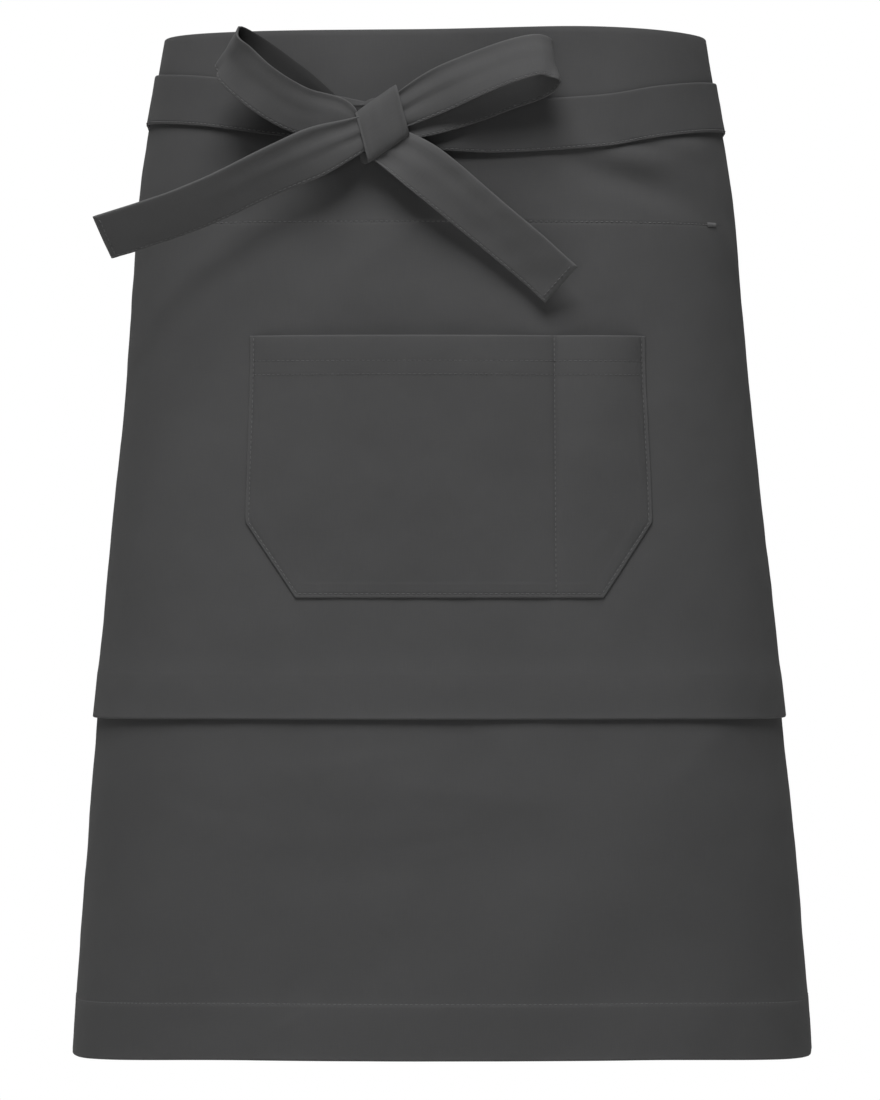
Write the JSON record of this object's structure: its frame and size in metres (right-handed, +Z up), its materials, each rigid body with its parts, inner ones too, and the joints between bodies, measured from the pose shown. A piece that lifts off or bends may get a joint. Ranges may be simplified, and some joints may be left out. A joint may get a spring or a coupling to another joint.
{
  "type": "waist apron",
  "caption": "Mid-length waist apron in dark grey twill, worn, with a patch pocket and long ties that cross behind and end in a bow in front.",
  "frame": {"origin": "middle of the waist opening, at the height where the ties run round it", "axes": "+Z up along the body, the front of the apron with its bow faces -Y, +X to the right seen from the front"},
  "size_m": [0.4472, 0.2498, 0.6106],
  "materials": {
    "twill": "matt polyester-cotton twill, charcoal grey",
    "twill_lower": "matt polyester-cotton twill, charcoal grey",
    "twill_pocket": "matt polyester-cotton twill, charcoal grey, hemmed and top-stitched",
    "tie_twill": "doubled twill strap, stitched along one edge, charcoal grey",
    "bow_twill": "doubled twill strap, stitched along one edge, charcoal grey"
  },
  "bodies": {
    "root": {"front_panel": "twill", "lower_panel": "twill_lower", "pocket": "twill_pocket", "tie_left": "tie_twill", "tie_right": "tie_twill", "knot": "bow_twill", "knot_core": "tie_twill", "loop_left": "bow_twill", "loop_right": "bow_twill", "tail_left": "bow_twill", "tail_right": "bow_twill"}
  },
  "joints": []
}
